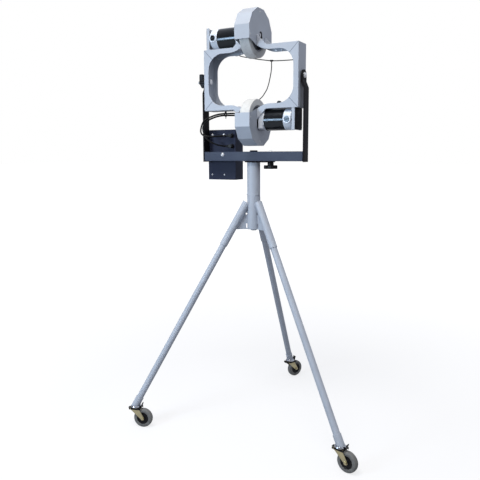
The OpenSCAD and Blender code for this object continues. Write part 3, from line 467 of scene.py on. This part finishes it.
moulded, takes, gives = effect(
    "moulded_plastic", {"Colour": "Color", "Gloss": "Float", "Grain": "Float"},
    {"Colour": "Color", "Roughness": "Float", "Normal": "Vector"})
place = put(moulded, "TexCoord").outputs["Object"]
grain = noise(moulded, place, 1500, 2)
handled = noise(moulded, place, 40, 3)
tone = put(moulded, "HueSaturation", {"Color": takes["Colour"],
                                      "Value": spread(moulded, handled, 0.3, 0.7, 0.85, 1.15)})
moulded.links.new(tone.outputs[0], gives.inputs["Colour"])
moulded.links.new(sum_of(moulded, takes["Gloss"], spread(moulded, handled, 0.3, 0.7, -0.08, 0.1)),
                  gives.inputs["Roughness"])
moulded.links.new(bumped(moulded, grain, times(moulded, takes["Grain"], 0.0001)), gives.inputs["Normal"])
black_plastic = finish("black_plastic", moulded,
                       {"Colour": srgb(20, 20, 22), "Gloss": 0.40, "Grain": 0.5},
                       Specular_IOR_Level=0.2)
# This black is painted shade: it makes the dark ring under each caster race and the pads over the motor
# guards' shaded outer faces.
black_rubber = finish("black_rubber", moulded,
                      {"Colour": srgb(22, 19, 21), "Gloss": 0.62, "Grain": 0.9},
                      Specular_IOR_Level=0.08)


def revolved(name, profile, centre, axle, sides=96, ring=True):
    """A turned shape: each profile point, (radius, place along the axle), is carried once
    round the axle through centre. ring joins the profile's last point to its first."""
    along_axle = np.array(axle) / np.linalg.norm(axle)
    first = np.cross(along_axle, [0, 0, 1] if abs(along_axle[2]) < 0.9 else [1, 0, 0])
    first = first / np.linalg.norm(first)
    second = np.cross(along_axle, first)
    turn = np.linspace(0, 2 * np.pi, sides, endpoint=False)
    spoke = first * np.cos(turn)[:, None] + second * np.sin(turn)[:, None]
    profile = np.array(profile)
    points = (np.array(centre) + profile[:, 1, None, None] * along_axle
              + profile[:, 0, None, None] * spoke)
    return outward(surface(name, points, around=True, along=ring))


def rounded_profile(corners, radius, steps=5):
    """A closed profile with each corner replaced by an arc, as points on the curve that
    starts and ends radius from the corner and bends through it (a quadratic curve)."""
    corners = np.array(corners, float)
    before = np.roll(corners, 1, 0) - corners
    after = np.roll(corners, -1, 0) - corners
    reach_before = np.minimum(radius, np.linalg.norm(before, axis=1) * 0.49)[:, None]
    reach_after = np.minimum(radius, np.linalg.norm(after, axis=1) * 0.49)[:, None]
    start = corners + before / np.linalg.norm(before, axis=1, keepdims=True) * reach_before
    end = corners + after / np.linalg.norm(after, axis=1, keepdims=True) * reach_after
    t = np.linspace(0, 1, steps)[:, None, None]
    curve = (1 - t) ** 2 * start + 2 * t * (1 - t) * corners + t ** 2 * end
    return curve.transpose(1, 0, 2).reshape(-1, 2)


tread_profile = rounded_profile(
    [(0.0295, -0.0128), (0.0395, -0.0135), (0.0452, -0.0122), (0.0472, -0.0060), (0.0475, 0.0),
     (0.0472, 0.0060), (0.0452, 0.0122), (0.0395, 0.0135), (0.0295, 0.0128)], 0.0022)
hub_profile = rounded_profile(
    [(0.0042, -0.0135), (0.0130, -0.0135), (0.0140, -0.0085), (0.0265, -0.0085), (0.0285, -0.0118),
     (0.0300, -0.0118), (0.0300, 0.0118), (0.0285, 0.0118), (0.0265, 0.0085), (0.0140, 0.0085),
     (0.0130, 0.0135), (0.0042, 0.0135)], 0.0010)
race_gap_profile = rounded_profile([(0.0235, 0.0), (0.0255, 0.0), (0.0255, 0.0038), (0.0235, 0.0038)],
                               0.0012)
race_under = 0.0985
for k in legs:
    eased("caster_race_" + k, chrome, 0.0006)
    eased("caster_fork_" + k, yellow_zinc, 0.0005)
    eased("brake_lever_" + k, black_plastic, 0.0005)
    roll_axis = axes["caster_roll_" + k]
    stem = Vector(axes["caster_swivel_" + k]["pos_m"])
    heading = math.atan2(roll_axis["axis"][1], roll_axis["axis"][0])
    tread_rubber = rubber("caster_tread_" + k, roll_axis["pos_m"], heading,
                          srgb(118, 117, 114), srgb(74, 73, 72), 0.8, 0.62)
    tread = revolved("caster_tread_" + k, tread_profile, roll_axis["pos_m"], roll_axis["axis"])
    piece("caster_tread_" + k, tread, tread_rubber, "roller_" + k, ["caster_wheel_" + k])
    hub = revolved("caster_hub_" + k, hub_profile, roll_axis["pos_m"], roll_axis["axis"], 72)
    piece("caster_hub_" + k, hub, black_plastic, "roller_" + k)
    # The black ring under each race is painted shade, standing for the dark gap between the race's two
    # halves.
    race_gap_ring = revolved("caster_seal_" + k, race_gap_profile, (stem.x, stem.y, race_under), (0, 0, 1), 64)
    piece("caster_seal_" + k, race_gap_ring, black_rubber, "caster_" + k)


# The yoke is a black powder-coated square tube with a flat arm bolted to each end. It turns
# on the mast's bolt, under a black cap, and a lobed knob below clamps it to the arc slot.
navy = finish("yoke_powder_coat", coat,
              {"Colour": srgb(50, 57, 77), "Worn": srgb(98, 102, 116), "Wear": 0.5,
               "Gloss": 0.42, "Peel": 0.7}, Specular_IOR_Level=0.25)
black_coat = finish("arm_powder_coat", coat,
                    {"Colour": srgb(29, 27, 30), "Worn": srgb(84, 84, 90), "Wear": 0.6,
                     "Gloss": 0.46, "Peel": 0.7}, Specular_IOR_Level=0.05)
eased("crossbar", navy, 0.0022, 3)
for part in ("sector_plate", "yoke_arm_left", "yoke_arm_right"):
    eased(part, black_coat, 0.0012)
for part in ("mast_plug", "crossbar_cap"):
    eased(part, black_plastic, 0.0010)
for part in ("tilt_knob", "pan_knob"):
    eased(part, black_plastic, 0.0016, 3)
for part in ("pan_pivot_bolt", "yoke_bolts", "tilt_pivot_bolt"):
    eased(part, glinting_zinc, 0.0004)


# The control box is folded from sheet and powder-coated blue-black. Its cover, on the side
# away from the ball, holds two speed dials, a rocker switch and a mains inlet.
box_coat = finish("box_powder_coat", coat,
                  {"Colour": srgb(47, 51, 69), "Worn": srgb(84, 88, 100), "Wear": 0.45,
                   "Gloss": 0.44, "Peel": 0.7}, Specular_IOR_Level=0.06)
red_plastic = finish("red_plastic", moulded, {"Colour": srgb(176, 30, 24), "Gloss": 0.24, "Grain": 0.1})
mark_white = finish("mark_white", moulded, {"Colour": srgb(226, 226, 222), "Gloss": 0.5, "Grain": 0.1})
for part in ("control_box", "box_cover"):
    eased(part, box_coat, 0.0010)
for part in ("power_inlet", "lead_connectors"):
    eased(part, black_plastic, 0.0005)
eased("power_switch", red_plastic, 0.0006)

dial_marks = 11
dial_sweep = 300
long_every = 5
long_mark = 0.0045
short_mark = 0.003
mark_start = 0.0215
mark_width = 0.0009
mark_depth = 0.0004
pointer_lift = 0.0002
pointer_radius = 0.0007
for which in ("top", "bottom"):
    dial = "speed_dial_" + which
    eased(dial, black_plastic, 0.0007)
    centre = np.array(axes[which + "_speed_dial"]["pos_m"])
    cover_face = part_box("box_cover")[1].y
    knob_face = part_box(dial)[1].y
    ticks = bmesh.new()
    for i in range(dial_marks):
        turn = math.radians(-dial_sweep / 2 + dial_sweep * i / (dial_marks - 1))
        long = long_mark if i % long_every == 0 else short_mark
        placed = Matrix.Translation((0, 0.0001, mark_start + long / 2))
        mark = bmesh.ops.create_cube(
            ticks, size=1.0, matrix=placed @ Matrix.Diagonal((mark_width, mark_depth, long, 1)))
        bmesh.ops.rotate(ticks, verts=mark["verts"], cent=(0, 0, 0),
                         matrix=Matrix.Rotation(turn, 3, "Y"))
    bmesh.ops.translate(ticks, verts=ticks.verts, vec=Vector((centre[0], cover_face, centre[2])))
    scale_mesh = bpy.data.meshes.new("dial_scale_" + which)
    ticks.to_mesh(scale_mesh)
    ticks.free()
    piece("dial_scale_" + which, scale_mesh, mark_white, "yoke")
    line = np.array([[centre[0], knob_face + pointer_lift, centre[2] + z]
                     for z in np.linspace(0.003, 0.012, 8)])
    pointer = outward(surface("dial_line_" + which, sweep(line, pointer_radius, 8),
                              around=True, ends=True))
    piece("dial_line_" + which, pointer, mark_white, "dial_" + which)


# The frame is a ring of folded channel, mitred and welded at its corners, with the flanges
# swept out beside the wheels. Faceted shrouds stand on it over each wheel.
for part in ("frame_left", "frame_right", "frame_top", "frame_bottom"):
    eased(part, silver, 0.0013, 3)
rivet_height = 0.0025
rivet_clear = 0.0002
for part in ("shroud_top", "shroud_bottom"):
    made = eased(part, silver, 0.0010, 3)
    # The rivets, standing proud of the side plate, take the zinc with its painted glint.
    made.data.materials.append(glinting_zinc)
    side_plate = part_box(part)[1].x - rivet_height
    centres = np.empty(len(made.data.polygons) * 3)
    made.data.polygons.foreach_get("center", centres)
    proud = np.abs(centres.reshape(-1, 3)[:, 0]) > side_plate + rivet_clear
    made.data.polygons.foreach_set("material_index", proud.astype(np.int32))
eased("motor_guards", silver, 0.0014, 3)
eased("motor_plates", black_coat, 0.0006)
eased("frame_bolts", glinting_zinc, 0.0004)

# Weld beads, ground almost flat, run down the four mitres from the frame's outer corners. Their darker
# grey paint is painted shade, standing for the shadow in the seams.
seam_paint = finish("seam_paint", coat,
                    {"Colour": srgb(112, 118, 130), "Worn": srgb(96, 100, 108), "Wear": 0.3,
                     "Gloss": 0.55, "Peel": 1.0}, Specular_IOR_Level=0.3)
frame_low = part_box("frame_left")[0]
frame_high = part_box("frame_right")[1]
seam_middle = (frame_low.z + frame_high.z) / 2
seam_half = frame_high.z - seam_middle
seam_reach = np.linspace(0.0012, 0.0448, 40)[:, None]
seam_radius = 0.0012
seam_ripple = 0.0002
ripple_pitch = 3000
seam_flat = 0.3
seam_width = seam_radius + seam_ripple * np.sin(seam_reach[:, 0] * ripple_pitch)
for side, high, face in ((i, j, k) for i in (-1, 1) for j in (-1, 1) for k in (-1, 1)):
    face_at = face * frame_high.y
    outer_corner = np.array([side * frame_high.x, face_at, seam_middle + high * seam_half])
    bead = sweep(outer_corner - seam_reach * np.array([side, 0, high]), seam_width, 8)
    bead[..., 1] = face_at + seam_flat * (bead[..., 1] - face_at)
    name = "mitre_weld_%s_%s_%s" % ("left" if side < 0 else "right", "low" if high < 0 else "top",
                                    "front" if face < 0 else "rear")
    seam = outward(surface(name, bead, around=True, ends=True))
    piece(name, seam, seam_paint, "head", sharp=60)

# A thin black pad with rounded corners covers the outer face of each motor guard. It is painted shade,
# standing for the shadow that the arm casts on that face.
guard_low, guard_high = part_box("motor_guards")
pad_thickness = 0.002
pad_inset = 0.003
pad_margin = 0.002
pad_reach = 0.0995
for which, side, foot in (("top", -1, guard_high.z - pad_margin - pad_reach),
                          ("bottom", 1, guard_low.z + pad_margin)):
    outer = guard_high.x if side > 0 else guard_low.x
    u = np.linspace(0, 2 * np.pi, 48, endpoint=False)
    power = 0.16
    half_width = (guard_high.y - guard_low.y) / 2 - pad_inset
    ring_y = np.sign(np.cos(u)) * np.abs(np.cos(u)) ** power * half_width
    ring_z = np.sign(np.sin(u)) * np.abs(np.sin(u)) ** power * pad_reach / 2 + foot + pad_reach / 2
    depth = np.array([0.0002, pad_thickness * 0.7, pad_thickness, pad_thickness])
    shrink = np.array([1.0, 1.0, 0.992, 0.90])
    middle_y = (guard_high.y + guard_low.y) / 2
    middle_z = foot + pad_reach / 2
    pad = np.stack([np.broadcast_to(outer + side * depth[:, None], (4, 48)),
                    middle_y + (ring_y - middle_y) * shrink[:, None],
                    middle_z + (ring_z - middle_z) * shrink[:, None]], -1)
    piece("guard_pad_" + which, outward(surface("guard_pad_" + which, pad, around=True, ends=True)),
          black_rubber, "head")


# Each motor is a black enamelled shell between two cast end bells. Round screwed caps on
# the rear bell hold its brushes.
enamel = finish("gloss_enamel", moulded, {"Colour": srgb(18, 18, 19), "Gloss": 0.15, "Grain": 0.05},
                Specular_IOR_Level=0.5, Specular_Tint=(0.8, 0.9, 1.0, 1.0))
cast = finish("cast_alloy", metal, {"Colour": srgb(222, 228, 236), "Stain": srgb(196, 202, 212),
                                    "Gloss": 0.42, "Grain": 0.8}, Metallic=0.1)
dark_cast = finish("hub_alloy", metal, {"Colour": srgb(120, 122, 128), "Stain": srgb(80, 82, 88),
                                        "Gloss": 0.45, "Grain": 0.5}, Metallic=0.8)
steel = finish("ground_steel", metal, {"Colour": srgb(190, 190, 192), "Stain": srgb(150, 150, 152),
                                       "Gloss": 0.28, "Grain": 0.3}, Metallic=1.0)
for which in ("top", "bottom"):
    eased("motor_can_" + which, enamel, 0.0006)
    eased("motor_bells_" + which, cast, 0.0012, 3)
    eased("motor_shaft_" + which, steel, 0.0004)
    eased("wheel_hub_" + which, dark_cast, 0.0010)
eased("brush_caps", enamel, 0.0006)


# The throwing wheels have thick cream rubber tyres, ground with a slight crown and scuffed
# grey by the balls.
tyre_radius = 0.1015
tyre_bore = 0.0711
tyre_half = 0.0250
crown = [(tyre_radius - 0.0009 * (x / tyre_half) ** 2, x) for x in np.linspace(-tyre_half, tyre_half, 9)]
tyre_profile = rounded_profile([(tyre_bore, -tyre_half)] + crown + [(tyre_bore, tyre_half)], 0.0034, 6)
for which in ("top", "bottom"):
    centre = axes[which + "_wheel_spin"]["pos_m"]
    cream = rubber("cream_rubber_" + which, centre, 0.0,
                   srgb(217, 216, 213), srgb(182, 181, 178), 0.45, 0.55)
    tyre = revolved("throwing_tyre_" + which, tyre_profile, centre, (1, 0, 0), 160)
    piece("throwing_tyre_" + which, tyre, cream, "wheel_" + which,
          ["wheel_tyre_" + which])


# A thin black wire hangs across the back of the window, and a branch of it drops to the
# lower wheel's side. Two thicker leads go round the left of the frame to the control box.
sheath, takes, gives = effect(
    "cable_sheath", {"Colour": "Color", "Gloss": "Float"},
    {"Colour": "Color", "Roughness": "Float", "Normal": "Vector"})
place = put(sheath, "TexCoord").outputs["Object"]
dust = noise(sheath, place, 70, 4, 0.6)
dusted = spread(sheath, dust, 0.45, 0.8, 0.0, 0.2)
sheath.links.new(blended(sheath, dusted, takes["Colour"], srgb(58, 57, 56)), gives.inputs["Colour"])
sheath.links.new(sum_of(sheath, takes["Gloss"], spread(sheath, dust, 0.3, 0.7, -0.05, 0.12)),
                 gives.inputs["Roughness"])
sheath.links.new(bumped(sheath, noise(sheath, place, 900, 2), 0.00003), gives.inputs["Normal"])
cable = finish("cable_sheath_black", sheath, {"Colour": srgb(10, 10, 11), "Gloss": 0.36},
               Specular_IOR_Level=0.25)


def smooth_route(points, steps=8):
    """A smooth line through points given in millimetres, in metres: between neighbours it is
    the cubic that keeps, at each point, the direction from the one before to the one after."""
    p = np.array(points, float) / 1000
    p = np.vstack([2 * p[0] - p[1], p, 2 * p[-1] - p[-2]])
    a, b, c, d = p[:-3, None], p[1:-2, None], p[2:-1, None], p[3:, None]
    t = np.linspace(0, 1, steps, endpoint=False)[None, :, None]
    curve = 0.5 * (2 * b + (c - a) * t + (2 * a - 5 * b + 4 * c - d) * t ** 2
                   + (3 * b - a - 3 * c + d) * t ** 3)
    return np.vstack([curve.reshape(-1, 3), p[-2]])


wire_across = [[-112, 52, 1825], [-106, 52, 1825], [-94, 52, 1819], [-70, 52, 1813], [-38, 52, 1806],
               [-12, 52, 1800], [14, 52, 1795], [42, 52, 1790], [69, 52, 1786], [94, 52, 1784],
               [118, 52, 1783], [175, 52, 1782], [214, 52, 1785], [223, 52, 1785]]
wire_branch = [[69, 52, 1783], [69, 52, 1754], [67, 52, 1738], [64, 52, 1721], [56, 52, 1687],
               [50, 52, 1669], [43, 52, 1653], [25, 52, 1628], [12, 52, 1616], [-4, 52, 1606],
               [-20, 52, 1601], [-36, 52, 1595], [-48, 52, 1587], [-55, 52, 1579], [-55, 52, 1573]]
lead_rear = [[-58, 54, 1896], [-58, 62, 1896], [-60, 66, 1884], [-66, 64, 1864], [-76, 57, 1850],
             [-94, 52, 1843], [-124, 50, 1841], [-190, 51, 1834], [-218, 52, 1818], [-230, 51, 1790],
             [-232, 50, 1640], [-228, 50, 1600], [-214, 50, 1578], [-188, 50, 1567], [-150, 50, 1564],
             [-118, 50, 1564]]
lead_low = [[58, 54, 1508], [58, 66, 1508], [59, 84, 1509], [58, 104, 1512], [52, 122, 1517],
            [40, 136, 1523], [22, 144, 1529], [-4, 146, 1534], [-32, 142, 1537], [-60, 128, 1539],
            [-86, 104, 1540], [-106, 76, 1540], [-120, 48, 1539.5], [-132, 26, 1539],
            [-146, 11, 1538.7], [-166, 5, 1538.7], [-186, -11, 1535], [-208, -25, 1527],
            [-230, -36, 1516], [-248, -43, 1500], [-256, -46, 1476], [-250, -46, 1450],
            [-236, -43, 1427], [-214, -33, 1408], [-192, -12, 1396], [-166, 11, 1390],
            [-152, 11, 1390]]
lead_high = [[-118, 50, 1564], [-112, 50, 1564], [-102, 49, 1557], [-98.5, 42, 1549.5],
             [-99, 32, 1547], [-106, 21, 1547], [-122, 11.5, 1547.3], [-144, 7, 1547.3],
             [-166, 5.5, 1547.3], [-188, -10, 1543.8], [-213, -25, 1535.2], [-237, -37, 1523],
             [-256, -45, 1505], [-265, -49, 1478], [-262, -56, 1458], [-248, -60, 1444],
             [-228, -54, 1438], [-206, -36, 1437], [-184, -8, 1439], [-166, 10, 1441],
             [-152, 11, 1441]]
wire_radius = 0.00225
lead_radius = 0.004
for name, route, radius, replaced in (("wire_across", wire_across, wire_radius, ["frame_wires"]),
                                      ("wire_branch", wire_branch, wire_radius, []),
                                      ("lead_rear", lead_rear, lead_radius, [])):
    tube = outward(surface(name, sweep(smooth_route(route), radius, 16), around=True, ends=True))
    piece(name, tube, cable, "head", replaced, 60)
joint_at = np.array(wire_branch[0]) / 1000 + [0, 0, 0.003]
knot_profile = rounded_profile([(0.0, -0.0085), (0.0042, -0.0085), (0.0042, 0.0085), (0.0, 0.0085)],
                               0.0030)
knot = revolved("wire_joint", knot_profile, joint_at, (1, 0, -0.05), 24)
piece("wire_joint", knot, black_plastic, "head")

for name, route, replaced, start, end in (
        ("lead_low", lead_low, ["motor_leads"], (-0.15, 0, 1.54), (-0.20, 0, 1.42)),
        ("lead_high", lead_high, [], (-0.15, 0, 1.545), (-0.19, 0, 1.46))):
    line = smooth_route(route)
    tube = outward(surface(name, sweep(line, lead_radius, 16), around=True, ends=True))
    tube.materials.append(cable)
    tube.shade_smooth()
    tube.set_sharp_from_angle(angle=math.radians(60))
    made = bpy.data.objects.new(name, tube)
    bpy.context.scene.collection.objects.link(made)
    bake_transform(made)
    if replaced:
        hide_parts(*replaced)
eased("cable_ties", black_plastic, 0.0004)

bpy.context.view_layer.update()
